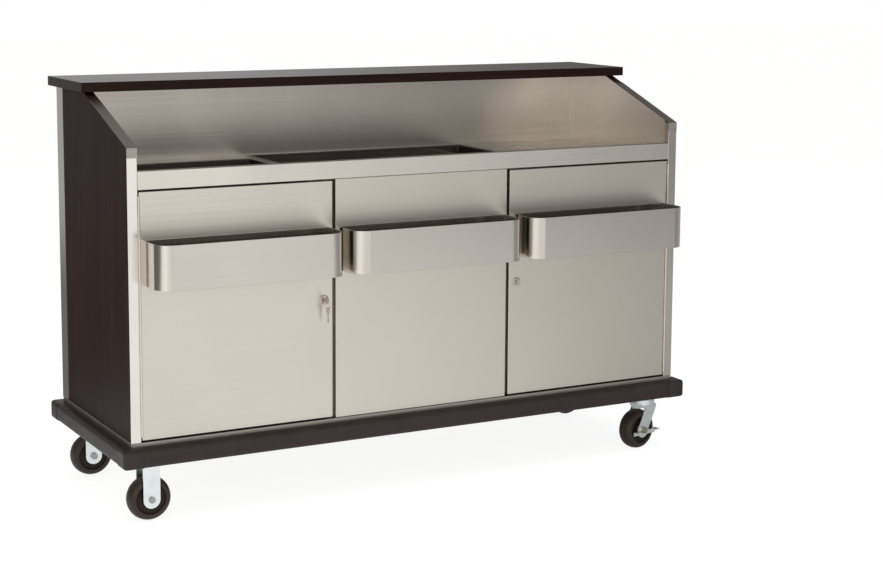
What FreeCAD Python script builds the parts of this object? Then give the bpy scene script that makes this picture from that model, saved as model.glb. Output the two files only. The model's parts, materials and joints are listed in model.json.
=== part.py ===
import FreeCAD, Part
import math
import os

# Portable bar on casters: a laminate body with a stainless working side.
# X runs along the bar, Y from the working side to the customer side, Z up from the floor.
# The origin is on the floor, in the middle of the whole bar. All lengths are millimetres.

Vec = FreeCAD.Vector
AXIS_X = Vec(1, 0, 0)
AXIS_Y = Vec(0, 1, 0)
AXIS_Z = Vec(0, 0, 1)
ORIGIN = Vec(0, 0, 0)

# Overall size
body_length = 1830.0
body_depth = 620.0
overall_height = 1219.0
caster_height = 177.0
bar_rise = 221.5

# Sheet and board stock
sheet = 1.2
heavy_sheet = 1.5
channel_wall = 3.0
side_board = 28.8
rear_board = 20.0
bulkhead_board = 16.0
cut_overrun = 5.0

# Base pan and bolsters
base_depth = 61.5
pan_skirt = 61.5
bolster_width = 126.0

# Bumper
bumper_proud = 31.0
bumper_height = 55.0
bumper_reveal = 12.5
bumper_edge_radius = 10.0
cap_step = 1.0
cap_leg = 60.0
cap_corner_radius = 12.0

# Side panels, stiles and slanted edges
stile_rise = 63.5
stile_return = 20.0
slope_run = 372.0
trim_thickness = 1.5
trim_short = 62.0
trim_lap = 27.0
corner_trim_leg = 60.0

# Bar top
top_thickness = 28.0
top_depth = 324.0
top_end_overhang = 17.0
top_rear_overhang = 34.0
top_edge_radius = 1.5
splash_standoff = 14.0

# Work deck with its raised front curb
curb_height = 39.5
curb_width = 20.0
apron_height = 53.0
apron_return = 15.0

# Ice bin and bottle well, dropped into the deck
bin_left = 318.0
bin_right = 432.0
bin_front_margin = 80.0
bin_rear_margin = 31.0
bin_depth = 200.0
bin_divider_place = 322.0
bin_divider_drop = 6.0
insulation = 25.0
drop_in_rim = 14.0
well_end_margin = 17.0
well_divider_margin = 37.0
well_front_margin = 75.0
well_rear_margin = 116.0
well_depth = 180.0

# Drain valve under the ice bin
drain_place = 380.0
drain_setback = 250.0
drain_flange_radius = 22.0
drain_flange = 2.0
drain_pipe_radius = 11.0
drain_bore_radius = 7.0
drain_pipe_length = 40.0
drain_cutout = 26.0
valve_body_radius = 18.0
valve_body_length = 46.0
outlet_radius = 9.5
outlet_length = 45.0
lever_stem_radius = 4.0
lever_stem_depth = 8.0
lever_stand = 14.0
lever_length = 78.0
lever_width = 14.0
lever_thickness = 3.0

# Doors, fixed centre panel and their gaps
door_depth = 20.0
centre_panel_width = 576.0
bay_gap = 10.0
hinge_gap = 3.0
door_top_gap = 4.5
door_bottom_gap = 5.0
centre_bottom_gap = 1.0
centre_lip = 22.0
liner_flange = 12.0
bulkhead_setback = 32.0

# Shelves
shelf_drain_gap = 120.0
shelf_board = 16.0
shelf_setback = 45.0

# Piano hinges
leaf_thickness = 1.0
leaf_depth = 16.0
knuckle_radius = 3.0
knuckle_stand = 0.3
knuckle_pitch = 48.0
knuckle_gap = 0.6
hinge_pin_radius = 1.5
hinge_end_margin = 10.0

# Cam locks and keys
lock_inset = 27.0
lock_drop = 86.0
lock_face_radius = 14.0
lock_face = 3.0
lock_barrel_radius = 9.5
lock_barrel_tail = 1.5
lock_hole_clearance = 0.3
plug_radius = 6.0
plug_proud = 0.8
cam_length = 46.0
cam_width = 14.0
cam_thickness = 2.5
key_slot_width = 2.6
key_slot_height = 8.2
key_slot_depth = 17.0
key_thickness = 2.0
key_blade_height = 7.6
key_blade_length = 20.0
key_bow_radius = 11.0
key_hole_radius = 3.4
key_ring_radius = 9.0
key_ring_wire = 0.9
spare_blade_length = 24.0

# Speed rails
rail_door_margin = 11.0
rail_panel_margin = 7.0
rail_reach = 123.0
rail_height = 126.0
rail_drop = 260.0
rail_corner_radius = 45.0
rail_hem = 1.2
rail_hem_height = 9.0

# Casters
caster_inset_x = 66.0
caster_inset_y = 53.0
plate_length = 114.0
plate_width = 96.0
plate_thickness = 4.0
bolt_spacing_x = 92.0
bolt_spacing_y = 72.0
bolt_radius = 4.0
bolt_head_width = 13.0
bolt_head = 5.5
bolt_nut = 6.5
bolt_tail = 3.0
wheel_radius = 63.5
wheel_half_width = 25.4
tread_edge_radius = 10.0
tread_wall = 20.0
wheel_recess = 8.0
hub_radius = 19.0
hub_half_width = 26.5
axle_radius = 6.35
leg_gap = 1.0
leg_thickness = 3.5
leg_half_width = 25.0
fork_crown = 5.0
swivel_crown = 8.0
axle_nut_width = 19.0
axle_nut = 8.0
axle_head_radius = 9.5
axle_head = 4.0
swivel_trail = 35.0
raceway_radius = 34.0
raceway_height = 30.0
kingpin_radius = 9.0
swivel_gap = 0.6
front_swivel_angle = 12.0
rear_swivel_angle = 90.0
pedal_strap_width = 13.0
pedal_thickness = 3.0
pedal_drop = 8.0
pedal_eye_radius = 12.5
pedal_heel = 44.0
pedal_reach = 62.0
pedal_pad_length = 20.0
pedal_pad_width = 18.0
pedal_pad_rise = 4.0

# Clearances
running_clearance = 0.05
side_clearance = 0.3

# Planes and levels that several pieces share
half_length = body_length / 2
rear_reach = max(top_rear_overhang, bumper_proud + cap_step)
front = (rail_reach - rear_reach) / 2 - body_depth / 2
rear = front + body_depth
inner_side = half_length - side_board - sheet
rear_inner = rear - rear_board
pan_top = caster_height + base_depth
pan_underside = pan_top - heavy_sheet
skirt_bottom = pan_top - pan_skirt
bumper_top = pan_top - bumper_reveal
bumper_bottom = bumper_top - bumper_height
cap_proud = bumper_proud + cap_step
working_height = overall_height - bar_rise
stile_top = working_height + stile_rise
top_underside = overall_height - top_thickness
slope_end = front + slope_run
splash_face = rear_inner - splash_standoff
deck_top = working_height - curb_height
deck_underside = deck_top - heavy_sheet
apron_bottom = working_height - apron_height
door_top = apron_bottom - door_top_gap
door_bottom = pan_top + door_bottom_gap
door_hinge_edge = inner_side - hinge_gap
door_free_edge = centre_panel_width / 2 + bay_gap
door_back = front + door_depth
lock_place = door_free_edge + lock_inset
lock_tail = door_back + lock_barrel_tail
hinge_axis_x = inner_side - hinge_gap / 2
hinge_axis_y = front - knuckle_radius - knuckle_stand
rail_bottom = door_top - rail_drop
lock_level = rail_bottom - lock_drop
door_centre = (door_hinge_edge + door_free_edge) / 2
rail_door_length = door_hinge_edge - door_free_edge - 2 * rail_door_margin
rail_panel_length = centre_panel_width - 2 * rail_panel_margin
bulkhead_face = door_free_edge - bay_gap / 2 - bulkhead_board / 2
bin_front = front + bin_front_margin
bin_rear = rear_inner - splash_standoff - bin_rear_margin
bin_floor = deck_top - bin_depth
insulation_bottom = bin_floor - sheet - insulation
valve_top = insulation_bottom - drain_pipe_length
valve_level = valve_top - valve_body_length / 2
outlet_top = valve_top - valve_body_length
outlet_end = outlet_top - outlet_length
caster_x = half_length - caster_inset_x
caster_front = front + caster_inset_y
caster_rear = rear - caster_inset_y
plate_underside = caster_height - plate_thickness
leg_inner = hub_half_width + leg_gap
leg_outer = leg_inner + leg_thickness


def block(x0, x1, y0, y1, z0, z1):
    """A box between two corners."""
    return Part.makeBox(x1 - x0, y1 - y0, z1 - z0, Vec(x0, y0, z0))


def rod(radius, start, direction, length):
    """A cylinder from a start point along a direction."""
    return Part.makeCylinder(radius, length, start, direction)


def prism_along_x(outline, x0, x1):
    """An outline of (y, z) points carried along X."""
    points = [Vec(x0, y, z) for y, z in outline]
    face = Part.Face(Part.makePolygon(points + points[:1]))
    return face.extrude(Vec(x1 - x0, 0, 0))


def prism_along_y(outline, y0, y1):
    """An outline of (x, z) points carried along Y."""
    points = [Vec(x, y0, z) for x, z in outline]
    face = Part.Face(Part.makePolygon(points + points[:1]))
    return face.extrude(Vec(0, y1 - y0, 0))


def hexagon(width, start, direction, length):
    """A hexagonal bar of the given width across flats, along Y or Z."""
    corner = width / math.sqrt(3)
    points = []
    for step in range(6):
        turn = math.radians(60 * step)
        u = corner * math.cos(turn)
        v = corner * math.sin(turn)
        points.append(start + (Vec(u, v, 0) if direction.z else Vec(u, 0, v)))
    face = Part.Face(Part.makePolygon(points + points[:1]))
    return face.extrude(direction * length)


def mirrored(shape):
    """The same piece for the other end of the bar."""
    return shape.mirror(ORIGIN, AXIS_X)


def group(shapes):
    """Separate solids kept side by side."""
    solids = [solid for shape in shapes for solid in shape.Solids]
    return Part.makeCompound(solids)


def near(a, b):
    """Whether two lengths are the same within a hair of the thinnest sheet."""
    return abs(a - b) < sheet / 100


# Base: a folded pan with a skirt, on two cross channels that carry the casters

def base_pan():
    outer = block(-half_length, half_length, front, rear, skirt_bottom, pan_top)
    inner = block(-half_length + heavy_sheet, half_length - heavy_sheet, front + heavy_sheet,
                  rear - heavy_sheet, skirt_bottom - cut_overrun, pan_underside)
    return outer.cut(inner)


def bolster():
    x0 = -caster_x - bolster_width / 2
    x1 = -caster_x + bolster_width / 2
    y0 = front + heavy_sheet
    y1 = rear - heavy_sheet
    outer = block(x0, x1, y0, y1, caster_height, pan_underside)
    inner = block(x0 + channel_wall, x1 - channel_wall, y0 - cut_overrun, y1 + cut_overrun,
                  caster_height + channel_wall, pan_underside + cut_overrun)
    channel = outer.cut(inner)
    for place in bolt_places(-caster_x):
        hole = rod(bolt_radius + side_clearance, Vec(place.x, place.y, caster_height - cut_overrun),
                   AXIS_Z, channel_wall + 2 * cut_overrun)
        channel = channel.cut(hole)
    return channel


def long_outer_edges(bar, axis, place):
    """The two long outer edges of a bumper length."""
    found = []
    for edge in bar.Edges:
        a = edge.Vertexes[0].Point
        b = edge.Vertexes[1].Point
        if near(a.z, b.z) and near(getattr(a, axis), place) and near(getattr(b, axis), place):
            found.append(edge)
    return found


def bumper_length(x0, x1, y0, y1, axis, place):
    bar = block(x0, x1, y0, y1, bumper_bottom, bumper_top)
    return bar.makeFillet(bumper_edge_radius, long_outer_edges(bar, axis, place))


def bumper_along_front():
    end = half_length + cap_proud - cap_leg
    return bumper_length(-end, end, front - bumper_proud, front, "y", front - bumper_proud)


def bumper_along_rear():
    end = half_length + cap_proud - cap_leg
    return bumper_length(-end, end, rear, rear + bumper_proud, "y", rear + bumper_proud)


def bumper_along_left():
    outer = -half_length - bumper_proud
    return bumper_length(outer, -half_length, front - cap_proud + cap_leg,
                         rear + cap_proud - cap_leg, "x", outer)


def corner_cap(x_way, y_way):
    """A moulded bumper cap round one corner of the base."""
    outer_x = x_way * (half_length + cap_proud)
    outer_y = (rear + cap_proud) if y_way > 0 else (front - cap_proud)
    inner_x = outer_x - x_way * cap_leg
    inner_y = outer_y - y_way * cap_leg
    cap = block(min(outer_x, inner_x), max(outer_x, inner_x), min(outer_y, inner_y),
                max(outer_y, inner_y), bumper_bottom, bumper_top)
    upright = [edge for edge in cap.Edges
               if near(edge.Vertexes[0].Point.x, outer_x) and near(edge.Vertexes[1].Point.x, outer_x)
               and near(edge.Vertexes[0].Point.y, outer_y) and near(edge.Vertexes[1].Point.y, outer_y)]
    cap = cap.makeFillet(cap_corner_radius, upright)
    rims = []
    for edge in cap.Edges:
        middle = edge.valueAt((edge.FirstParameter + edge.LastParameter) / 2)
        level = near(middle.z, bumper_bottom) or near(middle.z, bumper_top)
        inside = near(middle.x, inner_x) or near(middle.y, inner_y)
        if level and not inside:
            rims.append(edge)
    cap = cap.makeFillet(bumper_edge_radius, rims)
    body = block(-half_length, half_length, front, rear, bumper_bottom - cut_overrun, pan_top)
    return cap.cut(body)


def bumper_corners():
    return group([corner_cap(x_way, y_way) for x_way in (-1, 1) for y_way in (-1, 1)])


# Body: laminate side panels with stainless liners, stiles and slanted edge trims

def side_outline(y0):
    """The side's outline from a front line back, as (y, z) points."""
    share = (y0 - front) / slope_run
    shoulder = stile_top + share * (top_underside - stile_top)
    return [(y0, pan_top), (y0, shoulder), (slope_end, top_underside),
            (rear_inner, top_underside), (rear_inner, pan_top)]


def side_panel():
    return prism_along_x(side_outline(front + sheet), -half_length, -half_length + side_board)


def side_liners():
    outline = side_outline(front + sheet + stile_return)
    sheet_metal = prism_along_x(outline, -half_length + side_board, -inner_side)
    return group([sheet_metal, mirrored(sheet_metal)])


def stile():
    face = block(-half_length, -inner_side, front, front + sheet, pan_top, stile_top)
    leg = block(-inner_side - sheet, -inner_side, front + sheet, front + sheet + stile_return,
                pan_top, stile_top)
    slope = prism_along_x(slope_cutter(), -half_length - cut_overrun, -inner_side + cut_overrun)
    return face.fuse(leg).removeSplitter().cut(slope)


def slope_rise(run):
    """How far the slanted edge has risen at a distance behind the front."""
    return run * (top_underside - stile_top) / slope_run


def slope_cutter():
    """The space above the slanted edge, as (y, z) points."""
    run = sheet + stile_return + cut_overrun
    return [(front - cut_overrun, stile_top + slope_rise(-cut_overrun)),
            (front + run, stile_top + slope_rise(run)),
            (front + run, stile_top + slope_rise(run) + curb_height),
            (front - cut_overrun, stile_top + slope_rise(run) + curb_height)]


def slope_edge_trim():
    """A folded strip on the slanted edge, lapped down over the stile."""
    angle = math.atan2(top_underside - stile_top, slope_run)
    lift = trim_thickness / math.cos(angle)
    end = slope_run - trim_short
    outline = [(front, stile_top), (front + end, stile_top + slope_rise(end)),
               (front + end - trim_thickness * math.sin(angle),
                stile_top + slope_rise(end) + trim_thickness * math.cos(angle)),
               (front - trim_thickness, stile_top + slope_rise(-trim_thickness) + lift),
               (front - trim_thickness, stile_top - trim_lap), (front, stile_top - trim_lap)]
    return prism_along_x(outline, -half_length, -inner_side)


def slope_edge_trims():
    strip = slope_edge_trim()
    return group([strip, mirrored(strip)])


def customer_panel():
    return block(-half_length, half_length, rear_inner, rear, pan_top, top_underside)


def corner_trim():
    x0 = -half_length - sheet
    y1 = rear + sheet
    outer = block(x0, x0 + corner_trim_leg, y1 - corner_trim_leg, y1, pan_top, top_underside)
    inner = block(-half_length, x0 + corner_trim_leg + cut_overrun, y1 - corner_trim_leg - cut_overrun,
                  rear, pan_top - cut_overrun, top_underside + cut_overrun)
    return outer.cut(inner)


def corner_trims():
    strip = corner_trim()
    return group([strip, mirrored(strip)])


def bar_top():
    end = half_length + top_end_overhang
    y1 = rear + top_rear_overhang
    slab = block(-end, end, y1 - top_depth, y1, top_underside, overall_height)
    edges = [edge for edge in slab.Edges
             if near(edge.Vertexes[0].Point.z, overall_height)
             and near(edge.Vertexes[1].Point.z, overall_height)]
    return slab.makeFillet(top_edge_radius, edges)


def backsplash():
    face = block(-inner_side, inner_side, splash_face, splash_face + sheet, deck_top, top_underside)
    flange = block(-inner_side, inner_side, splash_face, rear_inner, top_underside - sheet,
                   top_underside)
    return face.fuse(flange).removeSplitter()


# Work deck, ice bin and bottle well

def work_deck():
    tray = block(-inner_side, inner_side, front + curb_width - heavy_sheet, rear_inner,
                 deck_underside, deck_top)
    curb = block(-inner_side, inner_side, front, front + curb_width, deck_underside, working_height)
    hollow = block(-inner_side - cut_overrun, inner_side + cut_overrun, front + heavy_sheet,
                   front + curb_width - heavy_sheet, deck_underside - cut_overrun,
                   working_height - heavy_sheet)
    apron = block(-inner_side, inner_side, front, front + heavy_sheet, apron_bottom, working_height)
    lip = block(-inner_side, inner_side, front, front + apron_return, apron_bottom,
                apron_bottom + heavy_sheet)
    deck = tray.fuse([curb.cut(hollow), apron, lip]).removeSplitter()
    ice_hole = block(-bin_left - sheet, bin_right + sheet, bin_front - sheet, bin_rear + sheet,
                     deck_underside - cut_overrun, deck_top + cut_overrun)
    return deck.cut(ice_hole).cut(well_block(sheet, deck_underside - cut_overrun, cut_overrun))


def open_box(x0, x1, y0, y1, floor, rim):
    """A drop-in sheet pan, measured inside, with its rim lying on the deck."""
    outer = block(x0 - sheet, x1 + sheet, y0 - sheet, y1 + sheet, floor - sheet, deck_top)
    flange = block(x0 - rim, x1 + rim, y0 - rim, y1 + rim, deck_top, deck_top + sheet)
    inner = block(x0, x1, y0, y1, floor, deck_top + sheet + cut_overrun)
    return outer.fuse(flange).removeSplitter().cut(inner)


def drain_hole(radius, z0, z1):
    return rod(radius, Vec(drain_place, front + drain_setback, z0), AXIS_Z, z1 - z0)


def ice_bin_liner():
    pan = open_box(-bin_left, bin_right, bin_front, bin_rear, bin_floor, drop_in_rim)
    hole = drain_hole(drain_pipe_radius + side_clearance, bin_floor - sheet - cut_overrun,
                      bin_floor + cut_overrun)
    return pan.cut(hole)


def bin_divider():
    return block(bin_divider_place, bin_divider_place + sheet, bin_front, bin_rear, bin_floor,
                 deck_top - bin_divider_drop)


def ice_bin_insulation():
    grow = sheet + insulation
    outer = block(-bin_left - grow, bin_right + grow, bin_front - grow, bin_rear + grow,
                  insulation_bottom, deck_underside)
    inner = block(-bin_left - sheet, bin_right + sheet, bin_front - sheet, bin_rear + sheet,
                  bin_floor - sheet, deck_underside + cut_overrun)
    centre_y = front + drain_setback
    hole = block(drain_place - drain_cutout / 2, drain_place + drain_cutout / 2,
                 centre_y - drain_cutout / 2, centre_y + drain_cutout / 2,
                 insulation_bottom - cut_overrun, bin_floor)
    return outer.cut(inner).cut(hole)


def well_block(grow, z0, above):
    return block(-inner_side + well_end_margin - grow, -bin_left - well_divider_margin + grow,
                 front + well_front_margin - grow, splash_face - well_rear_margin + grow, z0,
                 deck_top + above)


def bottle_well():
    return open_box(-inner_side + well_end_margin, -bin_left - well_divider_margin,
                    front + well_front_margin, splash_face - well_rear_margin,
                    deck_top - well_depth, drop_in_rim)


def drain_valve_body():
    y = front + drain_setback
    flange = rod(drain_flange_radius, Vec(drain_place, y, bin_floor), AXIS_Z, drain_flange)
    pipe = rod(drain_pipe_radius, Vec(drain_place, y, valve_top), AXIS_Z, bin_floor - valve_top)
    valve = rod(valve_body_radius, Vec(drain_place, y, outlet_top), AXIS_Z, valve_body_length)
    outlet = rod(outlet_radius, Vec(drain_place, y, outlet_end), AXIS_Z, outlet_length)
    body = flange.fuse([pipe, valve, outlet]).removeSplitter()
    upper = rod(drain_bore_radius, Vec(drain_place, y, valve_top), AXIS_Z,
                bin_floor + drain_flange + cut_overrun - valve_top)
    lower = rod(drain_bore_radius, Vec(drain_place, y, outlet_end - cut_overrun), AXIS_Z,
                outlet_length + cut_overrun)
    seat = rod(lever_stem_radius + running_clearance,
               Vec(drain_place, y - valve_body_radius - cut_overrun, valve_level), AXIS_Y,
               cut_overrun + lever_stem_depth)
    return body.cut(upper).cut(lower).cut(seat)


def drain_valve_lever():
    y = front + drain_setback - valve_body_radius
    stem = rod(lever_stem_radius, Vec(drain_place, y - lever_stand, valve_level), AXIS_Y,
               lever_stand + lever_stem_depth - side_clearance)
    handle = block(drain_place - lever_width / 2, drain_place + lever_length, y - lever_stand,
                   y - lever_stand + lever_thickness, valve_level - lever_width / 2,
                   valve_level + lever_width / 2)
    return stem.fuse(handle).removeSplitter()


# Cabinet inside: two bulkheads under the ice bin and a shelf on each side

def bulkhead():
    return block(-bulkhead_face - bulkhead_board, -bulkhead_face, front + bulkhead_setback,
                 rear_inner, pan_top, insulation_bottom)


def bulkheads():
    board = bulkhead()
    return group([board, mirrored(board)])


def shelf():
    level = outlet_end - shelf_drain_gap
    return block(-inner_side, -bulkhead_face - bulkhead_board, front + shelf_setback, rear_inner,
                 level - shelf_board, level)


def centre_panel():
    half = centre_panel_width / 2
    z0 = pan_top + centre_bottom_gap
    outer = block(-half, half, front, door_back, z0, apron_bottom)
    inner = block(-half + sheet, half - sheet, front + sheet, door_back - sheet, z0 + sheet,
                  apron_bottom - sheet)
    window = block(-half + centre_lip, half - centre_lip, door_back - sheet - cut_overrun,
                   door_back + cut_overrun, z0 + centre_lip, apron_bottom - centre_lip)
    foot = block(-half, half, front, door_back, pan_top, z0)
    return outer.cut(inner).cut(window).fuse(foot).removeSplitter()


# Doors, built for the left end and mirrored for the right

def lock_hole():
    return rod(lock_barrel_radius + side_clearance / 2,
               Vec(-lock_place, front - cut_overrun, lock_level), AXIS_Y,
               door_depth + 2 * cut_overrun)


def door_shell():
    x0 = -door_hinge_edge
    x1 = -door_free_edge
    outer = block(x0, x1, front, door_back, door_bottom, door_top)
    inner = block(x0 + sheet, x1 - sheet, front + sheet, door_back + cut_overrun,
                  door_bottom + sheet, door_top - sheet)
    return outer.cut(inner).cut(lock_hole())


def door_liner():
    x0 = -door_hinge_edge + sheet
    x1 = -door_free_edge - sheet
    z0 = door_bottom + sheet
    z1 = door_top - sheet
    outer = block(x0, x1, door_back - liner_flange, door_back, z0, z1)
    inner = block(x0 + sheet, x1 - sheet, door_back - liner_flange - cut_overrun,
                  door_back - sheet, z0 + sheet, z1 - sheet)
    return outer.cut(inner).cut(lock_hole())


def knuckle_levels():
    """Start levels of the hinge knuckles, frame and door in turn."""
    start = door_bottom + hinge_end_margin
    span = door_top - door_bottom - 2 * hinge_end_margin
    count = max(3, round(span / knuckle_pitch))
    pitch = span / count
    return [start + pitch * step for step in range(count)], pitch


def hinge_leaf(x0, x1, turn):
    """One leaf of the piano hinge, with every second knuckle."""
    levels, pitch = knuckle_levels()
    leaf = block(x0, x1, front, front + leaf_depth, door_bottom + hinge_end_margin,
                 door_top - hinge_end_margin)
    pieces = []
    for index, level in enumerate(levels):
        if index % 2 == turn:
            tall = pitch - knuckle_gap
            pieces.append(rod(knuckle_radius, Vec(-hinge_axis_x, hinge_axis_y, level), AXIS_Z, tall))
            pieces.append(block(x0, x1, hinge_axis_y, front, level, level + tall))
    leaf = leaf.fuse(pieces).removeSplitter()
    bore = rod(hinge_pin_radius + running_clearance,
               Vec(-hinge_axis_x, hinge_axis_y, door_bottom), AXIS_Z, door_top - door_bottom)
    return leaf.cut(bore)


def frame_leaf():
    return hinge_leaf(-inner_side, -inner_side + leaf_thickness, 0)


def door_leaf():
    return hinge_leaf(-door_hinge_edge - leaf_thickness, -door_hinge_edge, 1)


def hinge_frame_leaves():
    leaf = frame_leaf()
    return group([leaf, mirrored(leaf)])


def hinge_pins():
    pin = rod(hinge_pin_radius, Vec(-hinge_axis_x, hinge_axis_y, door_bottom + hinge_end_margin),
              AXIS_Z, door_top - door_bottom - 2 * hinge_end_margin)
    return group([pin, mirrored(pin)])


def lock_housing():
    face = rod(lock_face_radius, Vec(-lock_place, front - lock_face, lock_level), AXIS_Y, lock_face)
    outer_rim = [edge for edge in face.Edges if near(edge.BoundBox.YMax, front - lock_face)]
    face = face.makeChamfer(lock_face / 3, outer_rim)
    barrel = rod(lock_barrel_radius, Vec(-lock_place, front, lock_level), AXIS_Y,
                 lock_tail - front)
    bore = rod(plug_radius + running_clearance,
               Vec(-lock_place, front - lock_face - cut_overrun, lock_level), AXIS_Y,
               lock_tail - front + lock_face + 2 * cut_overrun)
    return face.fuse(barrel).removeSplitter().cut(bore)


def lock_plug():
    """The turning plug with its cam, which hangs down while the door is unlocked."""
    start = front - lock_face - plug_proud
    plug = rod(plug_radius, Vec(-lock_place, start, lock_level), AXIS_Y,
               lock_tail + side_clearance - start)
    cam_y = lock_tail + side_clearance
    cam = block(-lock_place - cam_width / 2, -lock_place + cam_width / 2, cam_y,
                cam_y + cam_thickness, lock_level - cam_length, lock_level + cam_width / 2)
    slot = block(-lock_place - key_slot_width / 2, -lock_place + key_slot_width / 2,
                 start - cut_overrun, start + key_slot_depth, lock_level - key_slot_height / 2,
                 lock_level + key_slot_height / 2)
    return plug.fuse(cam).removeSplitter().cut(slot)


def key_bow(centre):
    """The round head of a key, with its ring hole, across X."""
    start = centre - AXIS_X * (key_thickness / 2)
    head = rod(key_bow_radius, start, AXIS_X, key_thickness)
    hole_start = start - AXIS_X * cut_overrun + Vec(0, -key_bow_radius / 2, 0)
    hole = rod(key_hole_radius, hole_start, AXIS_X, key_thickness + 2 * cut_overrun)
    return head.cut(hole)


def key_set():
    """A key in the left lock, and its spare hanging from a split ring."""
    slot_end = front - lock_face - plug_proud + key_slot_depth
    blade = block(-lock_place - key_thickness / 2, -lock_place + key_thickness / 2,
                  slot_end - key_blade_length, slot_end, lock_level - key_blade_height / 2,
                  lock_level + key_blade_height / 2)
    bow_y = slot_end - key_blade_length - key_bow_radius + key_blade_height / 4
    bow = key_bow(Vec(-lock_place, bow_y, lock_level))
    key = blade.fuse(bow).removeSplitter()
    hole_y = bow_y - key_bow_radius / 2
    ring_z = lock_level - key_hole_radius + key_ring_wire + side_clearance / 2 - key_ring_radius
    ring_centre = Vec(-lock_place, hole_y, ring_z)
    ring = Part.makeTorus(key_ring_radius, key_ring_wire, ring_centre, AXIS_Y)
    spare_drop = key_ring_radius + key_hole_radius - key_ring_wire - side_clearance / 2
    spare_z = ring_z - spare_drop
    head = rod(key_bow_radius, Vec(-lock_place - key_thickness / 2, hole_y, spare_z - key_bow_radius / 2),
               AXIS_X, key_thickness)
    stem = block(-lock_place - key_thickness / 2, -lock_place + key_thickness / 2,
                 hole_y - key_blade_height / 2, hole_y + key_blade_height / 2,
                 spare_z - 1.5 * key_bow_radius - spare_blade_length, spare_z - key_bow_radius)
    eye = rod(key_hole_radius, Vec(-lock_place - key_thickness / 2 - cut_overrun, hole_y, spare_z),
              AXIS_X, key_thickness + 2 * cut_overrun)
    spare = head.fuse(stem).removeSplitter().cut(eye)
    return group([key, ring, spare])


# Speed rails: open troughs with round front corners

def rail_outline(grow, x_centre, length):
    """The rail's plan as a face, shrunk by a wall, square at the panel and round in front."""
    x0 = x_centre - length / 2 + grow
    x1 = x_centre + length / 2 - grow
    y0 = front - rail_reach + grow
    y1 = front - grow
    r = rail_corner_radius - grow
    mid = r * (1 - math.sqrt(2) / 2)
    edges = [Part.makeLine(Vec(x0 + r, y0, 0), Vec(x1 - r, y0, 0)),
             Part.Arc(Vec(x1 - r, y0, 0), Vec(x1 - mid, y0 + mid, 0), Vec(x1, y0 + r, 0)).toShape(),
             Part.makeLine(Vec(x1, y0 + r, 0), Vec(x1, y1, 0)),
             Part.makeLine(Vec(x1, y1, 0), Vec(x0, y1, 0)),
             Part.makeLine(Vec(x0, y1, 0), Vec(x0, y0 + r, 0)),
             Part.Arc(Vec(x0, y0 + r, 0), Vec(x0 + mid, y0 + mid, 0), Vec(x0 + r, y0, 0)).toShape()]
    return Part.Face(Part.Wire(edges))


def rail_prism(grow, x_centre, length, z0, z1):
    face = rail_outline(grow, x_centre, length)
    face.translate(Vec(0, 0, z0))
    return face.extrude(Vec(0, 0, z1 - z0))


def speed_rail(x_centre, length):
    rail_top = rail_bottom + rail_height
    outer = rail_prism(0, x_centre, length, rail_bottom, rail_top)
    lower = rail_prism(sheet, x_centre, length, rail_bottom + sheet, rail_top - rail_hem_height)
    upper = rail_prism(sheet + rail_hem, x_centre, length, rail_top - rail_hem_height - sheet,
                       rail_top + cut_overrun)
    return outer.cut(lower.fuse(upper))


# Casters: two rigid at the left end, two that swivel and brake at the right end

def bolt_places(x_centre):
    places = []
    for y in (caster_front, caster_rear):
        for x_way in (-1, 1):
            for y_way in (-1, 1):
                places.append(Vec(x_centre + x_way * bolt_spacing_x / 2,
                                  y + y_way * bolt_spacing_y / 2, 0))
    return places


def caster_bolt(place):
    head = hexagon(bolt_head_width, Vec(place.x, place.y, plate_underside - bolt_head), AXIS_Z,
                   bolt_head)
    top = caster_height + channel_wall + bolt_nut + bolt_tail
    shank = rod(bolt_radius, Vec(place.x, place.y, plate_underside), AXIS_Z, top - plate_underside)
    nut = hexagon(bolt_head_width, Vec(place.x, place.y, caster_height + channel_wall), AXIS_Z,
                  bolt_nut)
    return head.fuse([shank, nut]).removeSplitter()


def caster_bolts():
    return group([caster_bolt(place) for x in (-caster_x, caster_x) for place in bolt_places(x)])


def caster_plate(x, y):
    plate = block(x - plate_length / 2, x + plate_length / 2, y - plate_width / 2,
                  y + plate_width / 2, plate_underside, caster_height)
    for x_way in (-1, 1):
        for y_way in (-1, 1):
            hole = rod(bolt_radius + side_clearance,
                       Vec(x + x_way * bolt_spacing_x / 2, y + y_way * bolt_spacing_y / 2,
                           plate_underside - cut_overrun), AXIS_Z,
                       plate_thickness + 2 * cut_overrun)
            plate = plate.cut(hole)
    return plate


def fork_leg(x, y, way, top, x_top):
    """One leg of a fork, from its crown down round the axle."""
    y0 = y + way * leg_inner
    y1 = y + way * leg_outer
    outline = [(x - leg_half_width, wheel_radius), (x + leg_half_width, wheel_radius),
               (x_top + leg_half_width, top), (x_top - leg_half_width, top)]
    leg = prism_along_y(outline, min(y0, y1), max(y0, y1))
    foot = rod(leg_half_width, Vec(x, min(y0, y1), wheel_radius), AXIS_Y, leg_thickness)
    return leg.fuse(foot)


def axle_hole(x, y):
    return rod(axle_radius + running_clearance, Vec(x, y - leg_outer - cut_overrun, wheel_radius),
               AXIS_Y, 2 * (leg_outer + cut_overrun))


def rigid_caster(y):
    x = -caster_x
    top = plate_underside
    crown = block(x - leg_half_width, x + leg_half_width, y - leg_outer, y + leg_outer,
                  top - fork_crown, top)
    legs = [fork_leg(x, y, way, top - fork_crown, x) for way in (-1, 1)]
    return caster_plate(x, y).fuse([crown] + legs).removeSplitter().cut(axle_hole(x, y))


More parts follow.
